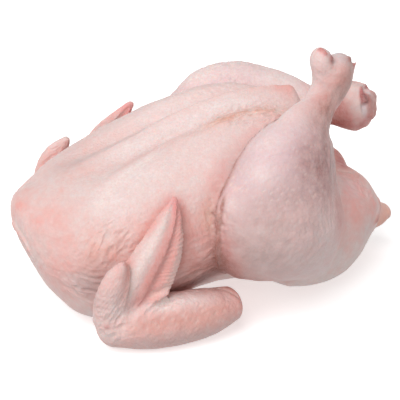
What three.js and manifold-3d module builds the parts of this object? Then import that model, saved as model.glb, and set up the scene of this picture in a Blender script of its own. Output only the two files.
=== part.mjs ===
// A plucked, dressed whole chicken that lies on its back, breast up: one closed solid.
// Millimetres, +Z up. +X runs from the neck end to the tail, -Y is the bird's near side in the
// usual view, and the origin is the middle of the footprint, on the surface it lies on.
// The bird is worked out as lofted tubes (trunk, legs, wings, tail) that are joined into one body.
// Its tables are drawn for a bird of about 267 mm, and the joined body is brought to BIRD_LENGTH.
import * as THREE from "three";
import { mergeVertices } from "three/addons/utils/BufferGeometryUtils.js";
import Module from "manifold-3d";

const wasm = await Module();
wasm.setup();

// ---- Driving sizes ---------------------------------------------------------------------------

const BIRD_LENGTH = 240; // neck end to tip of the tail
const SKIN_COLOUR = 0xe9cbc4;
const REST_CUT = 1.5; // the back is pressed flat by this much where it bears the weight
const MIRROR = -1; // turns a near-side Y into a far-side Y

// Keel and breast muscles, across the bird.
const KEEL_HALF_WIDTH = 7.5;
const VALLEY_FROM_KEEL = 17;
const VALLEY_HALF_WIDTH = 9;
const NEAR_VALLEY = 0.55; // depth of the near valley, as a share of the far one's

// Facets along and around each kind of piece.
const TRUNK_FACETS = { along: 36, around: 44 };
const LEG_FACETS = { along: 14, around: 20, cap: 3 };
const THIGH_FACETS = { along: 7, around: 20, cap: 4 };
const WING_FACETS = { along: 9, around: 16, cap: 3 };
const SMALL_FACETS = { along: 6, around: 14, cap: 3 };
const FOLD_FACETS = { along: 5, around: 16, cap: 3 };
const TENDON_FACETS = { along: 3, around: 6, cap: 2 };
const KNOB_FACETS = 12;

// Trunk stations: x, height of the breast, height of the back, half width, exponents of the
// breast's and the back's outlines (2 is an ellipse, more is fuller), rise of the keel, depth of
// the valleys beside it.
const TRUNK = [
  [-127.5, 70, 68, 1, 2, 2.4, 0, 0],
  [-126, 77, 58, 14, 2, 2.4, 0, 0],
  [-120.5, 81, 43, 30, 2, 2.4, 0, 0],
  [-110, 86, 22, 46.5, 2.1, 2.4, 0, 0],
  [-95, 93, 5, 61, 2.4, 2.4, 0, 0],
  [-75, 100, 0, 69, 2.6, 2.3, 1, 3],
  [-50, 109.5, 0, 74, 2.8, 1.9, 2, 6],
  [-20, 121, 0.5, 75, 2.8, 1.5, 3, 7],
  [10, 130, 2.5, 72, 2.7, 1.5, 3, 8],
  [35, 132, 0, 66, 2.6, 1.6, 4, 8],
  [57, 128, 5, 58, 2.3, 1.8, 7, 5],
  [67, 122, 9, 54, 2.1, 1.8, 9, 2],
  [74, 104, 12, 50, 2, 1.8, 4, 0],
  [84, 84, 18, 45, 2, 1.8, 0, 0],
  [99, 72, 23, 37, 2, 1.8, 0, 0],
  [110, 60, 27, 26, 2, 1.8, 0, 0],
  [116, 49, 31, 14, 2, 1.8, 0, 0],
  [118, 40, 38, 1, 2, 1.8, 0, 0],
];
const WIDEST_AT = 0.49; // height of the widest place, as a share of the trunk's height

// ---- Curves and lofts ------------------------------------------------------------------------

// The rows of a table at `count` even steps, on a Catmull-Rom curve through all of them.
function through(rows, count) {
  const last = rows.length - 1;
  const row = (i) => {
    if (i < 0) return rows[0].map((v, k) => 2 * v - rows[1][k]);
    if (i > last) return rows[last].map((v, k) => 2 * v - rows[last - 1][k]);
    return rows[i];
  };
  return Array.from({ length: count }, (_, step) => {
    const at = (step / (count - 1)) * last;
    const i = Math.min(Math.floor(at), last - 1);
    const t = at - i;
    const [a, b, c, d] = [row(i - 1), row(i), row(i + 1), row(i + 2)];
    return b.map((v, k) => {
      const slope = (c[k] - a[k]) * t;
      const bend = (2 * a[k] - 5 * v + 4 * c[k] - d[k]) * t * t;
      const twist = (3 * v - a[k] - 3 * c[k] + d[k]) * t ** 3;
      return v + 0.5 * (slope + bend + twist);
    });
  });
}

// A point of a superellipse: cos and sin of the angle, each bent by the exponent.
function bent(value, exponent) {
  return Math.sign(value) * Math.abs(value) ** (2 / exponent);
}

// A closed surface through rings of equally many points, with a pole at each end.
function skin(rings) {
  const around = rings[0].length;
  const points = rings.flat();
  const pole = (ring) =>
    ring
      .reduce((sum, p) => sum.add(p), new THREE.Vector3())
      .divideScalar(ring.length);
  const first = points.push(pole(rings[0])) - 1;
  const end = points.push(pole(rings.at(-1))) - 1;
  const faces = [];
  for (let j = 0; j < around; j++) {
    const k = (j + 1) % around;
    faces.push(first, k, j);
    for (let i = 0; i + 1 < rings.length; i++) {
      const a = i * around;
      const b = a + around;
      faces.push(a + j, a + k, b + k, a + j, b + k, b + j);
    }
    const a = (rings.length - 1) * around;
    faces.push(end, a + j, a + k);
  }
  const geometry = new THREE.BufferGeometry().setFromPoints(points);
  geometry.setIndex(faces);
  return geometry;
}

// The trunk: upright outlines along X, with the keel's ridge and its valleys on the breast.
function trunkGeometry() {
  const rings = through(TRUNK, TRUNK_FACETS.along).map((station) => {
    const [x, breast, back, half, upper, lower, ridge, valley] = station;
    const middle = back + (breast - back) * WIDEST_AT;
    return Array.from({ length: TRUNK_FACETS.around }, (_, j) => {
      const turn = (j / TRUNK_FACETS.around) * 2 * Math.PI;
      const up = Math.sin(turn) >= 0;
      const power = up ? upper : lower;
      const y = Math.max(half, 0.5) * bent(Math.cos(turn), power);
      const reach = up ? breast - middle : middle - back;
      const fromValley = (Math.abs(y) - VALLEY_FROM_KEEL) / VALLEY_HALF_WIDTH;
      const depth = y > 0 ? valley : valley * NEAR_VALLEY;
      const relief =
        ridge * Math.exp(-((y / KEEL_HALF_WIDTH) ** 2)) -
        depth * Math.exp(-(fromValley ** 2));
      const shown = up ? Math.sin(turn) ** 2 : 0;
      const z = middle + reach * bent(Math.sin(turn), power) + shown * relief;
      return new THREE.Vector3(x, y, z);
    });
  });
  return skin(rings);
}

// A limb: an oval tube along a spine, with a rounded cap at each end.
// A station is x, y, z, half size along `side`, half size square to it. `caps` are the lengths of
// the caps as shares of the end's smaller half size. `thickness` may thin the section across it.
function limbGeometry(stations, side, facets, caps = [0.8, 0.8], thickness) {
  const rows = through(stations, facets.along);
  const centres = rows.map(([x, y, z]) => new THREE.Vector3(x, y, z));
  const sideways = new THREE.Vector3(...side);
  const frames = rows.map(([, , , a, b], i) => {
    const before = centres[Math.max(i - 1, 0)];
    const after = centres[Math.min(i + 1, rows.length - 1)];
    const along = after.clone().sub(before).normalize();
    const u = sideways
      .clone()
      .addScaledVector(along, -sideways.dot(along))
      .normalize();
    const v = along.clone().cross(u);
    return { centre: centres[i], along, u, v, a, b };
  });
  const capFrames = (frame, sense, share) =>
    Array.from({ length: facets.cap }, (_, i) => {
      const turn = ((i + 1) / facets.cap) * (Math.PI / 2);
      const shrink = Math.max(Math.cos(turn), 0.05);
      const reach = sense * share * Math.min(frame.a, frame.b) * Math.sin(turn);
      return {
        ...frame,
        centre: frame.centre.clone().addScaledVector(frame.along, reach),
        a: frame.a * shrink,
        b: frame.b * shrink,
      };
    });
  const all = [
    ...capFrames(frames[0], -1, caps[0]).reverse(),
    ...frames,
    ...capFrames(frames.at(-1), 1, caps[1]),
  ];
  return skin(
    all.map(({ centre, u, v, a, b }) =>
      Array.from({ length: facets.around }, (_, j) => {
        const turn = (j / facets.around) * 2 * Math.PI;
        const across = Math.cos(turn);
        const thin = thickness ? thickness(across) : 1;
        return centre
          .clone()
          .addScaledVector(u, a * across)
          .addScaledVector(v, b * Math.sin(turn) * thin);
      }),
    ),
  );
}

// An egg-shaped lump of flesh or bone end.
function lumpGeometry([x, y, z], [rx, ry, rz]) {
  const geometry = new THREE.SphereGeometry(1, KNOB_FACETS, KNOB_FACETS - 2);
  return geometry.scale(rx, ry, rz).translate(x, y, z);
}

// ---- manifold-3d: joining and cutting --------------------------------------------------------

function solid(geometry) {
  const bare = geometry.clone();
  bare.deleteAttribute("normal");
  bare.deleteAttribute("uv");
  const merged = mergeVertices(bare, 1e-4);
  return new wasm.Manifold(
    new wasm.Mesh({
      numProp: 3,
      vertProperties: merged.attributes.position.array,
      triVerts: new Uint32Array(merged.index.array),
    }),
  );
}

function geometryOf(body) {
  const mesh = body.getMesh();
  return new THREE.BufferGeometry()
    .setAttribute("position", new THREE.BufferAttribute(mesh.vertProperties, 3))
    .setIndex(new THREE.BufferAttribute(mesh.triVerts, 1));
}

// ---- Legs ------------------------------------------------------------------------------------

// The near drumstick stands up: from the hock, cut through the joint, down to the knee.
function nearLeg() {
  const drumstick = [
    [74.5, -42, 158, 12.5, 11],
    [74, -42, 152, 14, 12],
    [70.5, -43, 144, 12, 11],
    [63, -46, 135.5, 11.5, 11],
    [54.5, -49, 125.5, 17, 15],
    [48.5, -53, 115.5, 24, 20],
    [41, -58, 103.5, 32, 25],
    [33, -63, 91, 36, 27],
    [22, -68, 79, 34, 27],
    [12, -71, 70, 30, 25],
  ];
  const thigh = [
    [6, -67, 65, 29, 23],
    [26, -69, 63, 30, 28],
    [41, -65, 60, 31, 28],
    [50, -58, 56, 31, 26],
  ];
  // Flesh between the thigh and the breast, where the skin folds in against the body.
  const fold = [
    [11, -57, 54, 23, 20],
    [10, -61, 64, 25, 24],
    [12, -63, 82, 25, 25],
  ];
  const tendon = [
    [84.5, -42, 151, 4, 4],
    [90, -43, 161.5, 0.8, 0.8],
  ];
  return [
    limbGeometry(drumstick, [0.85, 0, -0.5], LEG_FACETS, [0.5, 0.8]),
    limbGeometry(thigh, [0, 0, 1], THIGH_FACETS, [0.7, 0.4]),
    limbGeometry(fold, [1, 0, 0], FOLD_FACETS, [0.6, 0.8]),
    limbGeometry(tendon, [1, 0, 0], TENDON_FACETS),
    lumpGeometry([32, -67, 74], [34, 27, 25]),
    lumpGeometry([65.4, -42, 164.4], [6.9, 9.5, 9.3]),
    lumpGeometry([79.3, -41, 160], [7.8, 9, 8]),
  ];
}

// The far drumstick lies level, and its hock crosses towards the middle over the tail.
function farLeg() {
  const drumstick = [
    [126, 16, 105, 15.5, 14],
    [120, 21, 104, 18, 16],
    [110, 29, 102.5, 14.5, 13.5],
    [98.5, 37, 99.5, 12, 12],
    [82, 49, 101.5, 18.5, 18],
    [58, 60, 101, 27, 23],
    [38, 66, 98, 29, 24],
    [22, 69, 88, 26, 23],
  ];
  const thigh = [
    [6, 67, 62, 33, 23],
    [26, 68, 58, 32, 28],
    [44, 63, 56, 32, 29],
    [56, 55, 54, 31, 27],
  ];
  return [
    limbGeometry(drumstick, [0, 0, 1], LEG_FACETS, [0.4, 0.8]),
    limbGeometry(thigh, [0, 0, 1], THIGH_FACETS, [0.7, 0.6]),
    lumpGeometry([34, 65, 76], [34, 27, 24]),
  ];
}

// ---- Rump, vent and tail ---------------------------------------------------------------------

function rump() {
  const hip = [
    [50, -40, 46, 36, 32],
    [75, -34, 43.5, 35, 28],
    [97, -21, 49, 27, 23],
  ];
  const farHip = hip.map(([x, y, z, a, b]) => [x, MIRROR * y, z, a, b]);
  const tail = [
    [106, 2, 36, 14, 18],
    [119, 1, 32, 13.5, 15],
    [129, 0, 30, 9.5, 12],
    [136, 0, 30, 4.5, 8],
  ];
  return [
    limbGeometry(hip, [0, 0, 1], SMALL_FACETS),
    limbGeometry(farHip, [0, 0, 1], SMALL_FACETS),
    limbGeometry(tail, [0, 0, 1], SMALL_FACETS, [0.5, 0.8]),
    lumpGeometry([92.5, 11, 66.5], [14.5, 22, 15]),
  ];
}

// ---- Wings -----------------------------------------------------------------------------------

// The hand of a wing is a blade: a bone along its leading edge, then a groove and a thin web.
function bladeThickness(across) {
  const bone = 0.62 * Math.exp(-(((across + 0.5) / 0.36) ** 2));
  const web = 0.5 * Math.exp(-(((across - 0.72) / 0.34) ** 2));
  return 0.34 + bone + web;
}

// A wing folded in a Z: upper arm back along the back, forearm forward, hand up against the side.
function wing({ upperArm, forearm, hand, thumb, handSide, thumbSide }) {
  return [
    limbGeometry(upperArm, [0, 0, 1], SMALL_FACETS),
    limbGeometry(forearm, [0, 0, 1], WING_FACETS, [0.6, 1]),
    limbGeometry(hand, handSide, WING_FACETS, [0.7, 1], bladeThickness),
    limbGeometry(thumb, thumbSide, SMALL_FACETS),
  ];
}

const NEAR_WING = {
  upperArm: [
    [-12, -70, 15, 11, 11],
    [-40, -56, 14, 13, 12],
    [-72, -44, 26, 16, 14],
  ],
  forearm: [
    [-6.5, -73.5, 20, 11.5, 12],
    [-26, -77.5, 19.5, 15.5, 15],
    [-50, -79, 19.5, 17.5, 15],
    [-70, -76, 19.5, 17, 14.5],
    [-81.5, -72, 19.5, 15.5, 13.5],
  ],
  hand: [
    [-75, -75, 27, 14, 9],
    [-70.5, -79.5, 40, 17, 7.5],
    [-61, -80, 57, 17.5, 6.5],
    [-52, -78, 73, 14, 6],
    [-45.5, -73.5, 88, 8, 4.5],
    [-42.3, -70, 97.5, 2.3, 2.5],
  ],
  thumb: [
    [-88.5, -74, 27, 9, 9.5],
    [-88.5, -79, 39, 8.7, 7.5],
    [-86.5, -81.5, 49, 8.2, 6.5],
    [-84, -82, 57, 6.6, 5.6],
    [-81.5, -82.5, 63, 4.4, 4],
    [-79.5, -82.5, 68, 0.8, 0.8],
  ],
  handSide: [0.93, -0.15, -0.3],
  thumbSide: [1, 0, -0.1],
};

const FAR_WING = {
  upperArm: [
    [0, 70, 20, 11, 11],
    [-32, 56, 20, 13, 12],
    [-66, 44, 32, 16, 14],
  ],
  forearm: [
    [2, 76, 24, 13, 14],
    [-18, 79, 26, 15, 15],
    [-42, 80, 29, 16, 15],
    [-66, 78, 33, 15.5, 14],
    [-80, 75, 37, 14.5, 13],
  ],
  hand: [
    [-70, 76, 38, 13, 9],
    [-61, 81, 49, 14, 7],
    [-50, 82, 63, 14, 6.5],
    [-40, 80, 81.5, 11.5, 6],
    [-31.5, 77, 93.5, 7, 4.5],
    [-24, 74.5, 104, 2.2, 2.2],
  ],
  thumb: [
    [-85, 76, 46, 11.5, 10],
    [-83, 78.5, 59, 10.5, 8],
    [-78.5, 78.5, 70, 9.5, 7],
    [-73.5, 78, 78, 7, 5],
    [-69.5, 77.5, 83, 3.5, 3],
  ],
  handSide: [0.8, 0, -0.55],
  thumbSide: [0.9, 0, -0.4],
};

// ---- The bird --------------------------------------------------------------------------------

// A slab under the bird that takes off what the surface presses flat.
function restSlab() {
  const size = 400;
  const slab = new THREE.BoxGeometry(size, size, size);
  return slab.translate(0, 0, REST_CUT - size / 2);
}

function chickenGeometry() {
  const pieces = [
    trunkGeometry(),
    ...nearLeg(),
    ...farLeg(),
    ...rump(),
    ...wing(NEAR_WING),
    ...wing(FAR_WING),
  ];
  const joined = pieces.map(solid).reduce((body, piece) => body.add(piece));
  const geometry = geometryOf(joined.subtract(solid(restSlab())));
  geometry.computeBoundingBox();
  const { min, max } = geometry.boundingBox;
  const size = BIRD_LENGTH / (max.x - min.x);
  geometry.translate(-(min.x + max.x) / 2, -(min.y + max.y) / 2, -min.z);
  return geometry.scale(size, size, size);
}

const chicken = new THREE.Mesh(
  chickenGeometry(),
  new THREE.MeshStandardMaterial({
    color: SKIN_COLOUR,
    roughness: 0.45,
    metalness: 0,
  }),
);
chicken.name = "chicken";

const bird = new THREE.Group();
bird.add(chicken);

export default bird;
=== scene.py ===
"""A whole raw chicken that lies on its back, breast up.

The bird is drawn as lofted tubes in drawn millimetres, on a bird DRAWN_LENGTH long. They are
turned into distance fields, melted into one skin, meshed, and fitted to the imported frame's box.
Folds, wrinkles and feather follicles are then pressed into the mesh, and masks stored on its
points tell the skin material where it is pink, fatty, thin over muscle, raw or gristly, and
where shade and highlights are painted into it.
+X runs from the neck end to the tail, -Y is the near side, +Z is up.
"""

import math

import bmesh
import bpy
import numpy as np
import openvdb
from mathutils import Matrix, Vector


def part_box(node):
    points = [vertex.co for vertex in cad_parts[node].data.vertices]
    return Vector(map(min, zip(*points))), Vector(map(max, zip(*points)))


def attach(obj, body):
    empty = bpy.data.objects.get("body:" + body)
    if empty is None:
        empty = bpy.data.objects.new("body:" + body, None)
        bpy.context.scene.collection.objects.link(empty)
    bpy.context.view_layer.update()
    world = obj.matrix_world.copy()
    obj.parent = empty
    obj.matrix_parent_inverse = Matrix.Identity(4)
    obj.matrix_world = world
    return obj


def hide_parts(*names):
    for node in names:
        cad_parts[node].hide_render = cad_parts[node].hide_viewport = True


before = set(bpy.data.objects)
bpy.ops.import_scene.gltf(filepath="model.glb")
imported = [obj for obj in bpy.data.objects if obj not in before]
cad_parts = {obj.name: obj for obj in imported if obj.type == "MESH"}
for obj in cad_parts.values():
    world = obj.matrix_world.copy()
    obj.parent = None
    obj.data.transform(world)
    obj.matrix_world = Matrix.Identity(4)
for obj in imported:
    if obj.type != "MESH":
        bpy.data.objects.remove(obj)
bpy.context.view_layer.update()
CAD_LOW, CAD_HIGH = (np.array(corner) * 1000 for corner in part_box("chicken"))

# ---- Grid ----

VOXEL = 1.25  # drawn millimetres
BAND = 15.0  # how far from a surface its distances are known
GRID_LOW = np.array([-145.0, -110.0, -6.0])
GRID_HIGH = np.array([157.0, 110.0, 190.0])
GRID_SHAPE = np.ceil((GRID_HIGH - GRID_LOW) / VOXEL).astype(int)
REST_CUT = 1.5  # the back is pressed flat by this much where it bears the weight
DRAWN_LENGTH = 267.0
DRAWN_FOOT = np.array([6.0, -1.4, REST_CUT])  # the middle of the drawn footprint

# ---- Curves and lofts ----

RING_POINTS = 40
LIMB_STEPS = 60
CAP_STEPS = 8
CAP_TIP = 0.02  # a cap's last ring, as a share of its first
THINNEST = 0.2  # half size


def unit(vectors):
    return vectors / np.maximum(np.linalg.norm(vectors, axis=-1, keepdims=True), 1e-9)


def ramp(values, start, end):
    """0 before start, 1 past end, smooth between them."""
    t = np.clip((values - start) / (end - start), 0, 1)
    return t * t * (3 - 2 * t)


def swell(values, middle, width):
    """1 where values are at the middle, fading to 0 about `width` away from it."""
    return np.exp(-(((values - middle) / width) ** 2))


def through(rows, count):
    """The rows of a table at `count` even steps, on a Catmull-Rom curve through all of them."""
    rows = np.asarray(rows, float)
    rows = np.vstack([2 * rows[0] - rows[1], rows, 2 * rows[-1] - rows[-2]])
    at = np.linspace(0, len(rows) - 3, count)
    first = np.minimum(at.astype(int), len(rows) - 4)
    t = (at - first)[:, None]
    a, b, c, d = (rows[first + k] for k in range(4))
    slope = (c - a) * t
    bend = (2 * a - 5 * b + 4 * c - d) * t**2
    twist = (3 * b - a - 3 * c + d) * t**3
    return b + 0.5 * (slope + bend + twist)


def skin_over(rings):
    """A closed surface through rings of equally many points: its points, quads and triangles."""
    count, around, _ = rings.shape
    points = np.vstack([rings.reshape(-1, 3), rings[0].mean(0), rings[-1].mean(0)])
    here = np.arange(count * around).reshape(count, around)
    beside = np.roll(here, -1, axis=1)
    quads = np.stack([here[:-1], beside[:-1], beside[1:], here[1:]], -1)
    tip = np.full(around, count * around)
    first = np.stack([tip, beside[0], here[0]], 1)
    last = np.stack([tip + 1, here[-1], beside[-1]], 1)
    return points, quads.reshape(-1, 4), np.vstack([first, last])


def bent(values, exponent):
    """Cosines or sines of a superellipse: exponent 2 is an ellipse, and more is fuller."""
    return np.sign(values) * np.abs(values) ** (2 / exponent)


def limb(stations, side, caps=(0.8, 0.8), thickness=None):
    """An oval tube along a spine, with a rounded cap at each end.

    A station is x, y, z, half size along `side` and half size square to it. `caps` are the caps'
    lengths as shares of the end's smaller half size. `thickness` may thin the section across it.
    """
    rows = through(stations, LIMB_STEPS)
    centres, sizes = rows[:, :3], np.maximum(rows[:, 3:5], THINNEST)
    along = unit(np.gradient(centres, axis=0))
    side = np.asarray(side, float)
    u = unit(side - (along @ side)[:, None] * along)
    v = np.cross(along, u)
    turns = np.linspace(0, np.pi / 2, CAP_STEPS + 1)[1:]

    def cap(end, sense, share):
        reach = sense * share * sizes[end].min() * np.sin(turns)[:, None] * along[end]
        shrunk = np.maximum(np.cos(turns), CAP_TIP)[:, None] * sizes[end]
        sides = [np.tile(axis[end], (CAP_STEPS, 1)) for axis in (u, v)]
        return centres[end] + reach, shrunk, *sides

    start = [part[::-1] for part in cap(0, -1, caps[0])]
    finish = cap(-1, 1, caps[1])
    middle = (centres, sizes, u, v)
    c, r, cu, cv = (np.vstack(parts) for parts in zip(start, middle, finish))
    turn = np.linspace(0, 2 * np.pi, RING_POINTS, endpoint=False)
    across, out = np.cos(turn), np.sin(turn)
    if thickness:
        out = out * thickness(across)
    rings = (
        c[:, None]
        + cu[:, None] * (r[:, :1] * across)[..., None]
        + cv[:, None] * (r[:, 1:] * out)[..., None]
    )
    return {"skin": skin_over(rings), "spine": (centres, along, u, v, sizes)}


def lump(centre, radii):
    """An egg-shaped lump of flesh or bone end."""
    turns = np.linspace(0, np.pi, RING_POINTS // 2 + 1)[1:-1]
    around = np.linspace(0, 2 * np.pi, RING_POINTS, endpoint=False)
    flat = np.sin(turns)[:, None]
    rings = np.stack(
        [flat * np.cos(around), flat * np.sin(around), np.cos(turns)[:, None] + 0 * around], -1
    )
    return {"skin": skin_over(rings * np.asarray(radii, float) + np.asarray(centre, float))}


# ---- The bird's pieces, in drawn millimetres ----

# Trunk stations: x, height of the breast, height of the back, half width, exponents of the
# breast's and the back's outlines, rise of the keel, depth of the valleys beside it.
TRUNK = [
    (-127.5, 70, 68, 1, 2, 2.4, 0, 0),
    (-126, 77, 58, 14, 2, 2.4, 0, 0),
    (-120.5, 81, 43, 30, 2, 2.4, 0, 0),
    (-110, 86, 22, 46.5, 2.1, 2.4, 0, 0),
    (-95, 93, 5, 61, 2.4, 2.4, 0, 0),
    (-75, 100, 0, 69, 2.6, 2.3, 1, 3),
    (-50, 109.5, 0, 74, 2.8, 1.9, 2, 6),
    (-20, 121, 0.5, 75, 2.8, 1.5, 3, 7),
    (10, 130, 2.5, 72, 2.7, 1.5, 3, 8),
    (35, 132, 0, 66, 2.6, 1.6, 4, 8),
    (57, 128, 5, 58, 2.3, 1.8, 7, 5),
    (67, 122, 9, 54, 2.1, 1.8, 9, 2),
    (74, 104, 12, 50, 2, 1.8, 4, 0),
    (84, 84, 18, 45, 2, 1.8, 0, 0),
    (99, 72, 23, 37, 2, 1.8, 0, 0),
    (110, 60, 27, 26, 2, 1.8, 0, 0),
    (116, 49, 31, 14, 2, 1.8, 0, 0),
    (118, 40, 38, 1, 2, 1.8, 0, 0),
]
TRUNK_STEPS = 120
TRUNK_RING = 96
WIDEST_AT = 0.49  # height of the widest place, as a share of the trunk's height
NARROWEST = 0.5  # half width
KEEL_HALF_WIDTH = 7.5
VALLEY_FROM_KEEL = 17.0
VALLEY_HALF_WIDTH = 9.0
NEAR_VALLEY = 0.55  # depth of the near valley, as a share of the far one's
MIRROR = np.array([1, -1, 1, 1, 1])
SIDES = ("near_", "far_")


def trunk():
    """Upright outlines along X, with the keel's ridge and its valleys on the breast."""
    turn = np.linspace(0, 2 * np.pi, TRUNK_RING, endpoint=False)
    cos, sin = np.cos(turn), np.sin(turn)
    rings = []
    for x, breast, back, half, upper, lower, ridge, valley in through(TRUNK, TRUNK_STEPS):
        middle = back + (breast - back) * WIDEST_AT
        power = np.where(sin >= 0, upper, lower)
        y = max(half, NARROWEST) * bent(cos, power)
        reach = np.where(sin >= 0, breast - middle, middle - back)
        depth = valley * np.where(y > 0, 1.0, NEAR_VALLEY)
        relief = ridge * swell(y, 0, KEEL_HALF_WIDTH)
        relief -= depth * swell(np.abs(y), VALLEY_FROM_KEEL, VALLEY_HALF_WIDTH)
        z = middle + reach * bent(sin, power) + np.maximum(sin, 0) ** 2 * relief
        rings.append(np.stack([np.full(TRUNK_RING, x), y, z], 1))
    return {"skin": skin_over(np.array(rings))}


def near_leg():
    """The near drumstick stands up: from the hock, cut through the joint, down to the knee."""
    drumstick = [
        (74.5, -42, 158, 12.5, 11),
        (74, -42, 152, 14, 12),
        (70.5, -43, 144, 12, 11),
        (63, -46, 135.5, 11.5, 11),
        (54.5, -49, 125.5, 17, 15),
        (48.5, -53, 115.5, 24, 20),
        (41, -58, 103.5, 32, 25),
        (33, -63, 91, 36, 27),
        (22, -68, 79, 34, 27),
        (12, -71, 70, 30, 25),
    ]
    thigh = [(6, -67, 65, 29, 23), (26, -69, 63, 30, 28), (41, -65, 60, 31, 28), (50, -58, 56, 31, 26)]
    fold = [(11, -57, 54, 23, 20), (10, -61, 64, 25, 24), (12, -63, 82, 25, 25)]
    tendon = [(84.5, -42, 151, 4, 4), (90, -43, 161.5, 0.8, 0.8)]
    return {
        "near_drumstick": limb(drumstick, (0.85, 0, -0.5), (0.5, 0.8)),
        "near_knee": lump((32, -67, 74), (34, 27, 25)),
        "near_thigh": limb(thigh, (0, 0, 1), (0.7, 0.4)),
        "near_fold": limb(fold, (1, 0, 0), (0.6, 0.8)),
        "near_inner_knob": lump((65.4, -42, 164.4), (6.9, 9.5, 9.3)),
        "near_outer_knob": lump((79.3, -41, 160), (7.8, 9, 8)),
        "near_tendon": limb(tendon, (1, 0, 0)),
    }


def far_leg():
    """The far drumstick lies level, and its hock crosses towards the middle over the tail."""
    drumstick = [
        (126, 16, 105, 15.5, 14),
        (120, 21, 104, 18, 16),
        (110, 29, 102.5, 14.5, 13.5),
        (98.5, 37, 99.5, 12, 12),
        (82, 49, 101.5, 18.5, 18),
        (58, 60, 101, 27, 23),
        (38, 66, 98, 29, 24),
        (22, 69, 88, 26, 23),
    ]
    thigh = [(6, 67, 62, 33, 23), (26, 68, 58, 32, 28), (44, 63, 56, 32, 29), (56, 55, 54, 31, 27)]
    return {
        "far_drumstick": limb(drumstick, (0, 0, 1), (0.4, 0.8)),
        "far_knee": lump((34, 65, 76), (34, 27, 24)),
        "far_thigh": limb(thigh, (0, 0, 1), (0.7, 0.6)),
    }


def rump():
    hip = np.array([(50, -40, 46, 36, 32), (75, -34, 43.5, 35, 28), (97, -21, 49, 27, 23)])
    tail = [(106, 2, 36, 14, 18), (119, 1, 32, 13.5, 15), (129, 0, 30, 9.5, 12), (136, 0, 30, 4.5, 8)]
    return {
        "near_hip": limb(hip, (0, 0, 1)),
        "far_hip": limb(hip * MIRROR, (0, 0, 1)),
        "tail": limb(tail, (0, 0, 1), (0.5, 0.8)),
        "belly": lump((92.5, 11, 66.5), (14.5, 22, 15)),
    }


def blade(across):
    """Thickness of a wing's hand: a bone along its leading edge, then a groove and a thin web."""
    groove = 0.34
    bone = 0.62 * swell(across, -0.5, 0.36)
    web = 0.5 * swell(across, 0.72, 0.34)
    return groove + bone + web


def wing(side, upper_arm, forearm, hand, hand_side, thumb, thumb_side):
    return {
        side + "upper_arm": limb(upper_arm, (0, 0, 1)),
        side + "forearm": limb(forearm, (0, 0, 1), (0.6, 1.0)),
        side + "hand": limb(hand, hand_side, (0.7, 1.0), blade),
        side + "thumb": limb(thumb, thumb_side),
    }


def near_wing():
    upper_arm = [(-12, -70, 15, 11, 11), (-40, -56, 14, 13, 12), (-72, -44, 26, 16, 14)]
    forearm = [
        (-6.5, -73.5, 20, 11.5, 12),
        (-26, -77.5, 19.5, 15.5, 15),
        (-50, -79, 19.5, 17.5, 15),
        (-70, -76, 19.5, 17, 14.5),
        (-81.5, -72, 19.5, 15.5, 13.5),
    ]
    hand = [
        (-75, -75, 27, 14, 9),
        (-70.5, -79.5, 40, 17, 7.5),
        (-61, -80, 57, 17.5, 6.5),
        (-52, -78, 73, 14, 6),
        (-45.5, -73.5, 88, 8, 4.5),
        (-42.3, -70, 97.5, 2.3, 2.5),
    ]
    thumb = [
        (-88.5, -74, 27, 9, 9.5),
        (-88.5, -79, 39, 8.7, 7.5),
        (-86.5, -81.5, 49, 8.2, 6.5),
        (-84, -82, 57, 6.6, 5.6),
        (-81.5, -82.5, 63, 4.4, 4),
        (-79.5, -82.5, 68, 0.8, 0.8),
    ]
    return wing("near_", upper_arm, forearm, hand, (0.93, -0.15, -0.3), thumb, (1, 0, -0.1))


def far_wing():
    upper_arm = [(0, 70, 20, 11, 11), (-32, 56, 20, 13, 12), (-66, 44, 32, 16, 14)]
    forearm = [
        (2, 76, 24, 13, 14),
        (-18, 79, 26, 15, 15),
        (-42, 80, 29, 16, 15),
        (-66, 78, 33, 15.5, 14),
        (-80, 75, 37, 14.5, 13),
    ]
    hand = [
        (-70, 76, 38, 13, 9),
        (-61, 81, 49, 14, 7),
        (-50, 82, 63, 14, 6.5),
        (-40, 80, 81.5, 11.5, 6),
        (-31.5, 77, 93.5, 7, 4.5),
        (-24, 74.5, 104, 2.2, 2.2),
    ]
    thumb = [
        (-85, 76, 46, 11.5, 10),
        (-83, 78.5, 59, 10.5, 8),
        (-78.5, 78.5, 70, 9.5, 7),
        (-73.5, 78, 78, 7, 5),
        (-69.5, 77.5, 83, 3.5, 3),
    ]
    return wing("far_", upper_arm, forearm, hand, (0.8, 0, -0.55), thumb, (0.9, 0, -0.4))


# ---- Distance fields ----

FLOWING_FROM_X = (25, 60)  # where leg and body begin to run into each other, and fully do
FLOWING_UP_TO_Z = (70, 96)  # below the first they fully do, above the second not at all
CREASE_FILLET = 1.5
THUMB_FILLET = 6.0
FLOWING_FILLET = 12.0
SHOULDER_FILLET = 6.0

def distance_field(piece):
    """Distance to a piece's surface at each grid point, negative inside, cut off at BAND."""
    points, quads, triangles = piece["skin"]
    level_set = openvdb.FloatGrid.createLevelSetFromPolygons(
        ((points - GRID_LOW) / VOXEL).astype(np.float32),
        triangles=triangles.astype(np.uint32),
        quads=quads.astype(np.uint32),
        transform=openvdb.createLinearTransform(1.0),
        halfWidth=BAND / VOXEL,
    )
    field = np.zeros(GRID_SHAPE, np.float32)
    level_set.copyToArray(field)
    return field * VOXEL


def melt(first, second, radius):
    """Two fields as one, with a fillet of about `radius` where they meet."""
    overlap = np.maximum(radius - np.abs(first - second), 0) / radius
    return np.minimum(first, second) - overlap**2 * radius / 4


def grid_axis(axis):
    """The coordinate of each grid point along one axis, shaped to combine with a field."""
    steps = GRID_LOW[axis] + VOXEL * np.arange(GRID_SHAPE[axis], dtype=np.float32)
    return steps.reshape([-1 if k == axis else 1 for k in range(3)])


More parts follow.
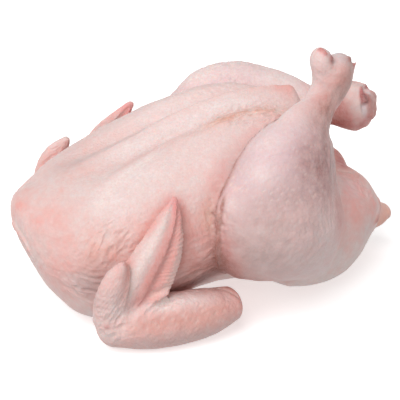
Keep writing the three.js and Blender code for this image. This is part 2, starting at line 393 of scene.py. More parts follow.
def melted(pieces, joins):
    """The named pieces melted one after the other, each with its own fillet radius."""
    body = None
    for name, radius in joins:
        field = distance_field(pieces[name])
        body = field if body is None else melt(body, field, radius)
    return body


def flowing(x, z):
    """1 where thigh and rump run into each other, 0 where a crease parts leg and body."""
    return ramp(x, *FLOWING_FROM_X) * (1 - ramp(z, *FLOWING_UP_TO_Z))


# Groups of pieces that melt into one another, each with the radius of the fillet at its join.
GROUPS = {
    "body": [("trunk", 0), ("near_hip", 12), ("far_hip", 12), ("belly", 3), ("tail", 8)],
    "near_leg": [
        ("near_drumstick", 0),
        ("near_knee", 14),
        ("near_thigh", 14),
        ("near_fold", 14),
        ("near_inner_knob", 5),
        ("near_outer_knob", 5),
        ("near_tendon", 2),
    ],
    "far_leg": [("far_drumstick", 0), ("far_knee", 14), ("far_thigh", 14)],
    **{side + "arm": [(side + "forearm", 0), (side + "hand", 4)] for side in SIDES},
    **{side + "thumb": [(side + "thumb", 0)] for side in SIDES},
}


def bird_field(pieces):
    """All pieces as one field, and the fields of its groups."""
    groups = {name: melted(pieces, joins) for name, joins in GROUPS.items()}
    merge = CREASE_FILLET + FLOWING_FILLET * flowing(grid_axis(0), grid_axis(2))
    bird = groups["body"]
    for side in SIDES:
        bird = melt(bird, groups[side + "leg"], merge)
    for side in SIDES:
        folded = melt(groups[side + "arm"], groups[side + "thumb"], THUMB_FILLET)
        bird = melt(bird, distance_field(pieces[side + "upper_arm"]), SHOULDER_FILLET)
        bird = melt(bird, folded, CREASE_FILLET)
    return np.maximum(bird, REST_CUT - grid_axis(2)).astype(np.float32), groups


def blended(low, share, value_of):
    """Values at a share of the way between grid points, from the eight that surround each place."""
    total = np.zeros(len(low))
    for corner in np.ndindex(2, 2, 2):
        total += np.prod(np.where(corner, share, 1 - share), axis=1) * value_of(low + corner)
    return total


def value_at(field, points):
    """A field's value at any points."""
    at = (points - GRID_LOW) / VOXEL
    low = np.clip(np.floor(at).astype(int), 0, GRID_SHAPE - 2)
    return blended(low, at - low, lambda corners: field[tuple(corners.T)])


def polygons_of(field):
    grid = openvdb.FloatGrid(BAND)
    grid.copyFromArray(field)
    points, triangles, quads = grid.convertToPolygons(isovalue=0.0, adaptivity=0.0)
    faces = [face[::-1].tolist() for face in quads] + [face[::-1].tolist() for face in triangles]
    return points * VOXEL + GRID_LOW, faces


# ---- Random skin textures ----

LATTICE = 32  # a random texture repeats after this many lumps


def noise(points, size, seed):
    """Smooth random values from 0 to 1, in lumps of about `size`."""
    lattice = np.random.default_rng(seed).random((LATTICE, LATTICE, LATTICE))
    low = np.floor(points / size).astype(int)
    share = ramp(points / size - low, 0, 1)
    return blended(low, share, lambda corners: lattice[tuple((corners % LATTICE).T)])


def cells(points, size, seed):
    """Distances, in cell sizes, to the nearest and the second nearest of scattered centres."""
    scatter = np.random.default_rng(seed).random((LATTICE, LATTICE, LATTICE, 3))
    at = points / size
    low = np.floor(at).astype(int)
    nearest = np.full(len(points), 9.0)
    second = nearest.copy()
    for step in np.ndindex(3, 3, 3):
        cell = low + step - 1
        i, j, k = (cell % LATTICE).T
        distance = np.linalg.norm(cell + scatter[i, j, k] - at, axis=1)
        second = np.minimum(second, np.maximum(nearest, distance))
        nearest = np.minimum(nearest, distance)
    return nearest, second


def squeezed(points, along, by):
    """The points brought together along a direction, so that what is drawn over them is longer."""
    along = unit(np.array(along, float))
    return points - (1 - 1 / by) * (points @ along)[:, None] * along


def swayed(points, by, size, seed):
    """The points moved about at random, so that what is drawn over them runs less straight."""
    moves = [noise(points, size, seed + k) - 0.5 for k in range(3)]
    return points + 2 * by * np.stack(moves, 1)


def wrinkles(points, along, length, spacing, seed):
    """Soft ridges, 0 in the furrows and 1 on top, running along a direction."""
    along = unit(np.array(along, float))
    points = swayed(points, 0.5 * spacing, 4 * spacing, seed + 7)
    run = (points @ along)[:, None] * along
    value = noise((points - run) / spacing + run / length, 1.0, seed)
    return np.minimum(np.abs(2 * value - 1) * 2, 1)


# ---- Places on the skin ----

WINGS = [side + group for side in SIDES for group in ("arm", "thumb")]
PATH_STEPS = 60
FADE = 0.15  # share of a path over which a fold fades at each end
END_SHARE = 0.25  # what is left of it there
FAR_OFF = 99.0
LIMB_REACH = 30.0
MIRROR_POINT = MIRROR[:3]


def patch(points, centre, radii):
    """1 at the middle of an egg-shaped place, fading to 0 about its radii."""
    offset = (points - np.asarray(centre, float)) / np.asarray(radii, float)
    return np.exp(-np.sum(offset**2, axis=1))


def patches(points, rows):
    """Several patches as one mask. A row is centre, radii and strength."""
    left = np.ones(len(points))
    for centre, radii, strength in rows:
        left *= 1 - strength * patch(points, centre, radii)
    return 1 - left


def both_sides(centre, radii, *rest):
    """A table's row for a place and what is drawn there, and its mirror image."""
    mirrored = [MIRROR_POINT * value if np.ndim(value) else value for value in rest]
    return [(centre, radii, *rest), (MIRROR_POINT * centre, radii, *mirrored)]


def boxed(points, spots, margin):
    """The numbers of the points in the box around some spots, widened by a margin."""
    within = (points > spots.min(0) - margin) & (points < spots.max(0) + margin)
    return np.flatnonzero(within.all(axis=1))


def from_path(points, path, reach):
    """How far each point is from a curve, and at what share of the curve, out to `reach`."""
    spots = through(path, PATH_STEPS)
    close = boxed(points, spots, reach)
    apart = np.linalg.norm(points[close, None] - spots, axis=2)
    nearest = np.full(len(points), FAR_OFF)
    share = np.zeros(len(points))
    nearest[close] = apart.min(1)
    share[close] = apart.argmin(1) / (PATH_STEPS - 1)
    return nearest, share


def furrow(points, path, width):
    """1 on a curve, fading to 0 about `width` away from it and towards its ends."""
    distance, share = from_path(points, path, 3 * width)
    ends = ramp(share, 0, FADE) * (1 - ramp(share, 1 - FADE, 1))
    return swell(distance, 0, width) * (END_SHARE + (1 - END_SHARE) * ends)


def place_on(points, piece):
    """Where points lie on a limb: mm along its spine, then across and out in its half sizes."""
    centres, along, u, v, sizes = piece["spine"]
    steps = np.linalg.norm(np.diff(centres, axis=0), axis=1)
    travelled = np.concatenate([[0], np.cumsum(steps)])
    close = boxed(points, centres, LIMB_REACH)
    nearest = np.linalg.norm(points[close, None] - centres, axis=2).argmin(1)
    offset = points[close] - centres[nearest]
    run, across, out = (np.full(len(points), FAR_OFF) for _ in range(3))
    run[close] = travelled[nearest] + np.sum(offset * along[nearest], axis=1)
    across[close] = np.sum(offset * u[nearest], axis=1) / sizes[nearest, 0]
    out[close] = np.sum(offset * v[nearest], axis=1) / sizes[nearest, 1]
    return run, across, out, travelled[-1]


# Where a thumb grows out of its wrist, and no crease parts them.
WRISTS = [((-88, -80, 26), (16, 14, 14), 1.0), ((-86, 76, 42), (14, 14, 15), 1.0)]
SKIN_DEPTH = (0.8, 3.0)  # a point this far outside a group still belongs to it, or no longer does
CREASE_WIDTHS = {"crease": 2.1, "crease_line": 1.2, "beside_crease": 9.0}


def survey(points, groups):
    """How much each point belongs to each group, and how near it is to where two of them meet."""
    depths = {name: value_at(field, points) for name, field in groups.items()}
    parts = {name: 1 - ramp(depth, *SKIN_DEPTH) for name, depth in depths.items()}
    second = np.sort(np.maximum(np.array(list(depths.values())), 0), axis=0)[1]
    meeting = 1 - flowing(points[:, 0], points[:, 2])
    meeting *= 1 - ramp(patches(points, WRISTS), 0.2, 0.6)
    for name, width in CREASE_WIDTHS.items():
        parts[name] = swell(second, 0, width) * meeting
    return parts


# ---- Relief, in drawn millimetres out of the skin ----

CREASE_DEPTH = 2.2
FOLLICLE_SPACING = 3.0
FOLLICLE_HEIGHT = 0.6
FOLLICLE_ROWS = (1, 0, 0.8)  # the direction in which they lie further apart
FOLLICLE_STRETCH = 1.6
LEAST_PLUCKED = 0.22  # how far follicles stand out where PLUCKED has no row
LUMP_SPACING = 4.6
MEAN_RIDGE = 0.6  # of the wrinkles, which go from 0 to 1
FAINTEST = 0.02  # where a wrinkled place ends
HAND_ROOT = (8, 16)  # along its spine, where a hand's relief begins
HAND_EDGE = (1.15, 1.45)  # from its spine, in half sizes, where it ends
HAND_TIP = 6
HAND_BONE_AT = -0.6  # across, in half sizes
THUMB_ROOT = (4, 12)
THUMB_EDGE = (0.95, 1.3)
RIB_SPACING = 2.7  # on the webs of the hands
RIB_HEIGHT = 0.16
EDGE_RIB_HEIGHT = 0.1  # more, at a web's edge
EDGE_HEIGHT = 1.3
HAND_VALLEY_DEPTH = 2.2
HAND_BONE_HEIGHT = 0.8
THUMB_RIB_SPACING = 2.1
THUMB_RIB_HEIGHT = 0.13
# The unevenness of the flesh: size of its lumps, height and seed.
UNEVEN = [(26, 1.5, 1), (11, 0.8, 4), (5.5, 0.35, 5)]

BREAST_EDGE = [(-37, -26, 112), (-58, -32, 104), (-78, -39, 94), (-88, -50, 82)]
NECK_FLAP = [(-127, 12, 64), (-127, 2, 63), (-126, -9, 62), (-125, -16, 60), (-122, -22, 54)]
LEG_CREASE = [
    (-10, -72, 98),
    (-13, -76, 89),
    (-15, -77, 79),
    (-15, -77, 68),
    (-15, -75, 56),
    (-12, -66, 42),
]
VENT = [(112, -18, 55), (118, -8, 52), (120, 1, 51), (118, 10, 52), (112, 20, 55)]
RUMP_FOLD = [(83, -24, 77), (88, -23.5, 76.8), (92, -23.5, 76.5), (96, -24, 76), (99, -26, 75)]
TAIL_FOLD = [(114, -30, 58), (113, -35, 54), (110, -39, 50), (104, -44, 45)]
ELBOW_FOLD = [(-17, -72, 33), (-10, -75, 33), (-5, -79, 31), (-1, -80, 27)]
ROLLED_SKIN = [(-70, -84, 37), (-69, -86, 41), (-64, -86, 43), (-58, -85, 44), (-51, -84, 47)]
RIM_FOLD = [(65, -58, 124), (64, -66, 115), (62, -75, 102), (59, -84, 88), (56, -90, 76)]
SHANK_FOLD = [(76, -53, 152), (72, -54, 147), (68, -56, 140), (64, -58, 132)]
HOCK_GROOVE = [(74, -34, 171), (72.5, -43, 171), (71, -50, 167), (70, -53, 161)]
HOCK_SLIT = [(62.5, -43, 174.5), (65, -46, 172.5), (66.5, -49, 170.5)]
CREASE_PUCKERS = [(-19, -72, 88), (-15, -76, 84), (-12, -80, 80)]

# Wrinkled places: centre, radii, direction, length and spacing of the furrows, depth.
WRINKLED = [
    ((16, -25, 127), (36, 12, 9), (0.9, 0.4, 0.33), 10, 2.3, 2.1),  # beside the keel
    ((16, 24, 127), (36, 12, 9), (0.9, -0.4, 0.33), 10, 2.4, 0.8),
    *both_sides((-30, -14, 116), (34, 16, 10), (0.9, 0.3, 0.4), 12, 2.6, 0.8),
    *both_sides((-80, -60, 76), (30, 16, 20), (1, 0, 0.85), 8, 2.6, 0.8),  # low on the breast
    ((-98, -62, 42), (16, 26, 13), (1, -0.5, -0.15), 24, 2.6, 1.0),  # shoulder, under the breast
    ((-96, 58, 46), (16, 26, 15), (1, 0.5, -0.15), 24, 2.4, 1.4),
    ((-22, -75, 82), (10, 12, 14), (-0.15, 0, 1), 22, 2.6, 0.7),  # flank between wing and thigh
    ((-24, -74, 58), (10, 12, 12), (1, 0, 0.35), 22, 3.2, 1.0),
    ((-18, 72, 62), (12, 12, 22), (1, 0, 0.35), 22, 3.4, 1.0),
    ((-28, -70, 42), (14, 12, 10), (1, 0, 0.2), 22, 3.2, 1.5),  # below it
    ((22, -68, 122), (24, 14, 7), (1, -0.3, 0.05), 30, 2.2, 0.7),  # drumsticks
    ((48, -66, 122), (18, 18, 16), (0.4, -0.2, 1), 16, 2.6, 0.5),
    ((46, -94, 66), (18, 14, 20), (0.1, 0.1, 1), 30, 2.4, 0.6),
    ((20, -98, 60), (34, 14, 22), (0.5, -0.2, 1), 10, 2.8, 0.35),
    ((40, 72, 112), (40, 30, 20), (0.2, -0.4, 1), 16, 2.8, 0.9),
    ((62, -72, 106), (6, 20, 26), (-0.1, -0.6, -1), 20, 2.6, 1.0),  # along the thigh's rim
    ((66, -50, 138), (9, 12, 9), (0.6, -0.3, 1), 20, 2.8, 0.5),  # shanks
    ((104, 33, 102), (12, 14, 14), (0.2, 0.1, 1), 14, 3.0, 0.9),
    ((-80, -84, 33), (12, 10, 10), (-0.45, 0, -1), 12, 3.4, 1.1),  # wrists
    ((-84, 80, 44), (14, 12, 12), (-0.45, 0, -1), 12, 3.4, 2.0),
    ((-60, -86, 34), (16, 8, 6), (-0.7, 0, -1), 12, 3.2, 1.2),
    ((-86, -84, 22), (14, 12, 10), (-1, 0, -0.5), 12, 3.2, 0.6),
    *both_sides((-118, -20, 62), (8, 26, 16), (0.2, 0.4, 1), 20, 3.2, 1.2),  # neck
    ((116, 0, 52), (12, 22, 10), (0, 0.2, 1), 12, 3.2, 1.4),  # vent
    *both_sides((96, -38, 66), (14, 16, 14), (0.6, 0.5, -1), 20, 2.8, 1.0),  # rump
    ((50, 90, 40), (30, 20, 30), (0.2, -0.2, 1), 22, 4.2, 0.8),
]

# Places where the skin is drawn up in small soft lumps: centre, radii, height.
LUMPY = [
    *both_sides((-80, -62, 74), (30, 16, 18), 1.0),  # low on the breast
    ((-112, -40, 56), (12, 20, 20), 0.8),  # under the neck
    ((-44, -86, 29), (38, 12, 9), 0.6),  # forearms
    ((-36, 88, 36), (36, 16, 14), 1.3),
    ((-86, -82, 30), (12, 10, 12), 0.5),
    ((-14, -78, 90), (6, 8, 16), 1.8),  # along the crease
    ((116, 18, 100), (12, 16, 14), 0.8),
]

# Where plucked follicles stand out most: centre, radii, strength.
PLUCKED = [
    ((18, -88, 101), (14, 9, 7), 0.6),  # a band across the near thigh
    ((34, -88, 105), (14, 9, 7), 0.35),
    ((46, -88, 95), (10, 9, 7), 0.4),
    ((-3, -72, 103), (7, 9, 12), 1.2),
    ((26, -72, 120), (34, 18, 16), 0.35),
    ((28, -92, 88), (34, 14, 14), 0.25),
    ((34, 66, 122), (44, 24, 14), 1.4),  # the far thigh
    ((30, 92, 80), (30, 16, 16), 0.9),
    ((-16, -76, 84), (5, 8, 14), 1.0),  # along the crease
    ((-44, -86, 28), (34, 12, 10), 0.6),
    ((-34, 88, 36), (40, 14, 14), 1.0),
    *both_sides((40, -60, 12), (40, 30, 14), 0.6),  # under the thighs
    ((-30, -80, 10), (50, 20, 10), 0.5),
]


def uneven_flesh(points):
    return sum(height * (noise(points, size, seed) - 0.5) for size, height, seed in UNEVEN)


def follicles(points):
    """Rounded bumps where the feathers were, and how strongly they stand out."""
    nearest, _ = cells(squeezed(points, FOLLICLE_ROWS, FOLLICLE_STRETCH), FOLLICLE_SPACING, 9)
    size = 0.2 + 0.3 * noise(points, 9, 11)
    return swell(nearest, 0, size), LEAST_PLUCKED + patches(points, PLUCKED)


def lumpy(points):
    nearest, _ = cells(swayed(points, 1.2, 7, 31), LUMP_SPACING, 30)
    strength = sum(height * patch(points, centre, radii) for centre, radii, height in LUMPY)
    return strength * (0.5 - np.minimum(nearest, 1.0))


def wrinkled(points):
    height = np.zeros(len(points))
    for number, (centre, radii, along, length, spacing, depth) in enumerate(WRINKLED):
        strength = patch(points, centre, radii)
        here = np.flatnonzero(strength > FAINTEST)
        ridges = wrinkles(points[here], along, length, spacing, 50 + number)
        height[here] += depth * strength[here] * (ridges - MEAN_RIDGE)
    return height


# Folds of skin that follow a line: path, width and height, with the furrow beside each one's
# foot: where the path shifts to, width and depth.
FOLDED = [
    (BREAST_EDGE, 5.0, 0.8, (3, 7, 0), 5.0, 0.8),
    (NECK_FLAP, 2.4, 1.3, (1.5, 0, -3.2), 2.0, 1.6),
    (RUMP_FOLD, 1.7, 1.8, (0, -2, -3.0), 2.0, 1.2),
    (TAIL_FOLD, 2.2, 0.7, (2.5, 1.5, -1.5), 2.4, 1.2),
    (ELBOW_FOLD, 2.0, 1.4, (-2, -2, -3), 2.2, 0.9),
    (ROLLED_SKIN, 2.3, 2.2, (2.0, -1.0, -3.4), 1.8, 2.2),
    (RIM_FOLD, 2.4, 0.4, (-3, -1, 0), 2.4, 0.3),
    (SHANK_FOLD, 2.2, 0.4, (-2.5, -1, 0), 2.0, 0.3),
]
# Furrows with no fold beside them: path, width and depth.
FURROWS = [
    (VENT, 2.2, 2.4),
    (HOCK_GROOVE, 2.6, 1.0),
    (HOCK_SLIT, 1.2, 1.8),
    (CREASE_PUCKERS, 1.4, 1.6),
    (LEG_CREASE, 1.4, 1.8),
]
# Folds on the far side that mirror a near one: the near one's path, width and height.
FAR_FOLDS = [(RUMP_FOLD, 2.2, 1.4), (TAIL_FOLD, 2.2, 0.6), (RIM_FOLD, 2.2, 0.7)]


def folds(points):
    height = np.zeros(len(points))
    for path, width, rise, foot, foot_width, depth in FOLDED:
        height += rise * furrow(points, path, width)
        height -= depth * furrow(points - foot, path, foot_width)
    for path, width, depth in FURROWS:
        height -= depth * furrow(points, path, width)
    for path, width, rise in FAR_FOLDS:
        height += rise * furrow(points * MIRROR_POINT, path, width)
    return height


def on_hand(points, piece, part):
    """Where points lie on a wing's hand.

    That is mm along it, half sizes past the valley between its bone and its web, how surely they
    are on it, and at what share of its length.
    """
    run, across, out, length = place_on(points, piece)
    within = part * (1 - ramp(np.hypot(across, out), *HAND_EDGE)) * ramp(run, *HAND_ROOT)
    past_valley = across - 0.06 - 0.2 * ramp(run, 0.6 * length, length)
    short_of_tip = 1 - ramp(run, length - HAND_TIP, length)
    return run, past_valley, within * short_of_tip, run / length


def hand_ribs(points, piece, part):
    """A bone, a valley beside it, then a web gathered into ribs that end in a scalloped edge."""
    run, past, within, _ = on_hand(points, piece, part)
    valley = swell(past, 0, 0.2)
    bone = swell(past, HAND_BONE_AT, 0.3)
    web = ramp(past, -0.1, 0.25)
    ribs = np.cos(2 * np.pi * (run - 9 * past + 4 * noise(points, 8, 80)) / RIB_SPACING)
    ribs *= 0.3 + 1.2 * noise(points, 5, 81)
    edge = ramp(past, 0.4, 0.8)
    height = web * (RIB_HEIGHT + EDGE_RIB_HEIGHT * edge) * ribs + EDGE_HEIGHT * edge
    height += HAND_BONE_HEIGHT * bone - HAND_VALLEY_DEPTH * valley
    return within * height


def thumb_ribs(points, piece, part):
    run, across, out, _ = place_on(points, piece)
    wave = 9 * across - 0.4 * run + 1.5 * noise(points, 7, 83)
    ribs = THUMB_RIB_HEIGHT * np.cos(2 * np.pi * wave / THUMB_RIB_SPACING)
    within = part * (1 - ramp(np.hypot(across, out), *THUMB_EDGE)) * ramp(run, *THUMB_ROOT)
    return within * ribs


# Small pits: centre, radius and depth.
PITS = [
    ((71, -48, 168), 1.4, 1.6),  # in the near hock
    ((84, -45, 165), 2.0, 1.6),
    ((109, -39, 46), 3.5, 2.0),  # beside the tail
]


def pits(points):
    return -sum(depth * patch(points, centre, 3 * (radius,)) for centre, radius, depth in PITS)


# Ends of gristle and bone in the far drumstick's cut: centre, radii and rise.
CUT_KNOBS = [
    ((125, 18, 118), (3.2, 3.2, 3.2), 2.4),
    ((121, 6, 106), (3, 3, 6), 1.5),
    ((127, 13, 115), (3, 3.5, 4), 1.5),
    ((123, 24, 121), (3, 3, 3), 2.2),
    ((119, 20, 122), (3, 3, 3), 1.8),
]
CUT_SLIT = [(122, 13, 117), (122, 11, 115), (121.5, 9, 112.5), (122, 7, 110)]
CUT_START = 2.2  # past the first point of the drumstick's spine
CUT_SLANT = 3.0  # the cut leans back over the top
CUT_SOFTNESS = 1.2
CUT_REACH = 1.6  # in half sizes of the drumstick
CUT_BOWL_DEPTH = 2.0
CUT_SLIT_DEPTH = 3.2


def hock_cut(points, piece):
    """1 past the slanting cut through the far hock, and how far from its middle a point is."""
    run, across, out, _ = place_on(points, piece)
    radial = np.hypot(across, out)
    past = ramp(CUT_SLANT * across - CUT_START - run, -CUT_SOFTNESS, CUT_SOFTNESS)
    return past * (radial < CUT_REACH), radial


def cut_hock(points, piece):
    """The end of the far drumstick: a ragged rim of skin and flesh round knobs of gristle."""
    at_end, radial = hock_cut(points, piece)
    rim = swell(radial, 0.85, 0.15) * (0.2 + 2.4 * noise(points, 4.5, 90))
    bowl = CUT_BOWL_DEPTH * (1 - ramp(radial, 0.5, 0.8))
    knobs = sum(rise * patch(points, centre, radii) for centre, radii, rise in CUT_KNOBS)
    ragged = 1.4 * (noise(points, 2.6, 91) - 0.5)
    slit = CUT_SLIT_DEPTH * furrow(points, CUT_SLIT, 1.3)
    return at_end * (rim - bowl + ragged - 0.6) + knobs - slit


def relief(points, pieces, parts):
    """The flesh's unevenness and creases, the fine relief of the skin on them, and its follicles."""
    bumps, strength = follicles(points)
    fine = FOLLICLE_HEIGHT * bumps * strength
    fine += lumpy(points) + wrinkled(points) + folds(points) + pits(points)
    for side in SIDES:
        fine += hand_ribs(points, pieces[side + "hand"], parts[side + "arm"])
        fine += thumb_ribs(points, pieces[side + "thumb"], parts[side + "thumb"])
    fine += cut_hock(points, pieces["far_drumstick"])
    return uneven_flesh(points) - CREASE_DEPTH * parts["crease"], fine, bumps * strength


# ---- Colour masks ----

# Blood showing pink through the skin, and pink painted shade on the near shank's side away from
# the light, under the near thigh and between wing and thigh.
FLUSH_AND_PINK_SHADE = [
    ((-121, -8, 76), (10, 20, 10), 0.65),  # neck
    ((-112, -28, 78), (10, 14, 8), 0.35),
    ((-111, -46, 50), (14, 16, 26), 0.7),
    ((-119, 26, 58), (13, 22, 20), 0.8),
    ((-80, -66, 64), (28, 16, 14), 0.35),  # low on the breast
    ((-80, 66, 66), (28, 16, 14), 0.8),
    ((-52, -72, 82), (16, 12, 14), 0.6),
    ((60, 0, 131), (10, 9, 9), 0.9),  # tip of the keel
    ((-26, -74, 70), (11, 12, 22), 1.0),  # flank
    ((-24, 74, 72), (12, 10, 22), 0.9),
    ((-34, -68, 50), (20, 12, 16), 1.0),
    ((106, 4, 70), (12, 22, 12), 0.8),  # round the vent
    ((120, 0, 48), (10, 26, 10), 0.8),
    ((130, -2, 34), (13, 18, 16), 1.0),  # tail
    ((94, -34, 70), (18, 18, 14), 0.8),  # rump
    ((91, -23, 77), (9, 10, 6), 0.7),
    ((94, 34, 72), (16, 16, 12), 0.6),
    ((82, -62, 64), (16, 20, 12), 1.0),
    ((82, 62, 64), (16, 20, 12), 0.8),
    ((106, -38, 56), (10, 12, 14), 0.8),
    ((88, -56, 56), (16, 18, 16), 0.7),
    ((72, -76, 66), (12, 16, 16), 0.9),
    ((76, -52, 154), (10, 10, 12), 0.9),  # near shank, pink painted shade on its side away from the light
    ((63, -48, 160), (6, 8, 12), 0.6),
    ((66, -54, 142), (14, 9, 16), 1.0),
    ((64, -82, 78), (12, 14, 20), 1.0),  # rump beside the thigh
    ((4, -77, 40), (22, 10, 9), 1.0),
    ((106, 32, 102), (12, 16, 16), 0.6),  # far shank
    ((116, 20, 92), (18, 18, 9), 0.9),
    ((-8, -80, 60), (11, 10, 18), 0.9),  # back of the thigh
    ((24, -94, 86), (40, 14, 18), 0.6),
    ((-6, -66, 112), (10, 14, 20), 0.6),
    ((-6, -84, 27), (14, 12, 10), 0.8),  # elbows
    ((4, 82, 30), (12, 12, 12), 0.7),
    ((-90, -84, 36), (14, 10, 22), 0.7),  # wrists
    ((-88, 78, 46), (10, 10, 14), 0.6),
    ((-44, -91, 25), (40, 12, 13), 0.85),  # forearms
    ((-34, 90, 36), (40, 12, 11), 1.0),
]
# Fat showing warm and pale yellow-orange.
FATTY = [
    ((8, -25, 127), (28, 8, 8), 0.7),  # beside the keel
    ((34, -20, 129), (20, 6, 8), 0.6),
    ((-20, -74, 84), (7, 9, 10), 0.8),  # flank
    ((101, -4, 77), (10, 20, 9), 1.0),  # vent
    ((-78, -62, 68), (26, 14, 12), 0.25),
    ((130, -2, 34), (13, 18, 16), 0.9),
    ((-45, -91, 24), (40, 10, 12), 0.4),  # forearm
]
# The palest skin, over thick white meat or stretched over bone, and painted light on the keel's
# ridge, the tops of the far thigh and the forearm, the thumb and the drumstick's highlight.
PALE = [
    ((-52, -40, 102), (26, 16, 14), 0.8),
    ((-74, -50, 90), (14, 14, 10), 0.7),
    ((-14, -44, 118), (24, 18, 14), 0.4),
    ((-50, -8, 109), (34, 7, 8), 1.0),  # keel
    ((12, -9, 130), (40, 7, 8), 0.9),
    ((-18, -11, 120), (26, 9, 8), 0.8),
    ((-20, 24, 120), (60, 18, 16), 0.7),
    ((30, 70, 122), (40, 14, 8), 0.8),  # top of the far thigh, painted light
    ((40, -42, 130), (20, 10, 9), 0.7),  # along the crease
    ((-78, 80, 78), (10, 8, 12), 0.5),
    ((-45, -84, 34), (36, 8, 5), 0.9),  # top of the forearm, painted light
    ((-87, -86, 38), (12, 7, 22), 0.55),  # thumb, painted light
    ((-84, -87, 41), (5, 6, 8), 0.5),
    ((11, -78, 111), (9, 10, 8), 0.5),  # drumstick's painted highlight
    ((20, -66, 124), (16, 10, 5), 0.5),
    ((62, -46, 160), (8, 12, 10), 0.5),
    ((72, 46, 118), (18, 16, 10), 0.7),
    ((-8, -78, 92), (4, 7, 7), 0.5),
    ((4, -96, 80), (6, 6, 3), 0.4),
    ((50, -90, 70), (10, 8, 14), 0.3),
]
# Lilac skin over the drumsticks' red meat.
LILAC = [
    ((24, -74, 116), (32, 24, 22), 0.9),
    ((0, -80, 98), (16, 16, 18), 0.5),
    ((46, 62, 104), (44, 34, 26), 0.7),
    ((92, -40, 72), (12, 14, 8), 0.5),
    ((-52, -90, 14), (40, 16, 10), 0.3),
    ((-40, 86, 22), (36, 16, 10), 0.5),
]
# Grey skin where it is thin over dark meat, and grey painted shade on the breast beside the leg,
# under the shoulders and forearms, between wing and thigh, on the shank's side, in the valleys
# beside the keel and along the underside.
GREY = [
    ((4, -97, 66), (17, 14, 15), 0.7),  # near thigh
    ((18, -98, 50), (26, 14, 14), 0.3),
    ((24, -92, 84), (44, 20, 26), 0.6),
    ((2, -60, 114), (9, 14, 22), 0.4),  # painted shade on the breast beside the leg
    ((34, -92, 86), (36, 14, 20), 0.35),
    ((62, -70, 112), (8, 20, 24), 0.4),
    ((40, 92, 50), (34, 16, 34), 0.6),
    ((-96, -66, 42), (14, 22, 9), 1.0),  # shoulders, painted shade under the breast
    ((-98, 60, 42), (16, 24, 12), 0.9),
    ((-84, 6, 97), (22, 7, 9), 0.5),  # painted shade in the valleys beside the keel
    ((-40, 7, 114), (44, 6, 9), 0.55),
    ((14, -18, 127), (36, 4, 8), 0.35),
    ((-44, -92, 12), (44, 18, 7), 0.45),  # painted shade under the forearms
    ((-24, -64, 38), (14, 14, 8), 1.0),
    ((74, -52, 148), (4, 6, 5), 0.5),
    ((96, -48, 46), (14, 16, 12), 0.35),
    ((60, 0, 4), (70, 60, 10), 0.3),
]
# Dark meat showing through, deepened into painted shade on the near drumstick's side away from
# the light.
DARK = [
    ((52, -78, 106), (16, 16, 18), 0.85),
    ((47, -77, 114), (14, 16, 20), 0.5),
    ((58, -68, 120), (10, 14, 16), 0.5),
    ((34, -86, 98), (22, 12, 12), 0.3),
    ((22, 94, 84), (16, 12, 14), 0.4),
    ((88, 50, 84), (14, 14, 12), 0.4),
]
# Blood and cut flesh.
RAW = [
    ((71, -48, 168), (3.0, 3.2, 3.0), 0.9),
    ((101, -2, 77), (10, 14, 8), 0.75),
    ((97, -14, 78), (8, 9, 5), 0.7),
    ((-12, -79, 50), (7, 8, 16), 0.5),
    ((114, 14, 92), (14, 14, 8), 0.4),
    ((-44, -90, 28), (32, 8, 5), 0.1),
    ((64, -84, 78), (10, 12, 18), 0.25),
    ((104, 18, 98), (9, 16, 16), 0.95),
    ((122, 23, 120), (5, 6, 3.4), 1.0),
    ((127, 6, 109), (3.0, 4, 8), 1.0),
    ((122, 8, 96), (6, 6, 6), 0.6),
    ((-91, -83, 25), (2, 3, 2), 0.5),
    ((88, -44, 160), (3, 4, 5), 0.6),
]
# Gristle on the cut joints.
GRISTLE = [
    ((80, -43, 166), (6, 7, 4), 1.0),
    ((70, -43, 171.5), (3, 4, 2.5), 0.9),
    ((126, 18, 117), (3, 3, 3), 0.9),  # far hock
    ((122, 5, 106), (2.8, 3, 5.5), 0.9),
    ((128, 12, 114), (2.4, 3, 4.0), 0.7),
]
# Skin stretched so tight that it shines.
GLOSSY = [
    ((12, -78, 111), (14, 14, 12), 0.7),
    ((80, -43, 166), (8, 8, 6), 0.8),
    ((125, 18, 118), (4, 4, 4), 1.0),
    ((72, 46, 118), (20, 18, 12), 0.4),
]
# The wing tips, flushed through and through.
ROSY = [
    ((-42.5, -71, 97), (5, 8, 8), 0.9),
    ((-25, 75, 103), (9, 8, 9), 0.9),
    ((-80, -82, 66), (4, 4, 4), 0.3),
]
# Lines of colour along folds: path, width, and the tint's name and strength. The pale lines are
# painted highlight on the folds' ridges.
LINED = [
    (RUMP_FOLD, 1.3, "pale", 0.8),
    (TAIL_FOLD, 1.6, "pale", 0.6),
    (RIM_FOLD, 2.6, "pale", 0.3),
    (SHANK_FOLD, 2.2, "pale", 0.25),
    (BREAST_EDGE, 4.0, "pale", 0.5),
    (CREASE_PUCKERS, 1.6, "shade", 0.8),
    (CUT_SLIT, 2.4, "raw", 0.8),
    (HOCK_SLIT, 2.2, "rosy", 0.7),
    (HOCK_SLIT, 1.0, "raw", 0.6),
    (LEG_CREASE, 1.5, "shade", 1.0),
]
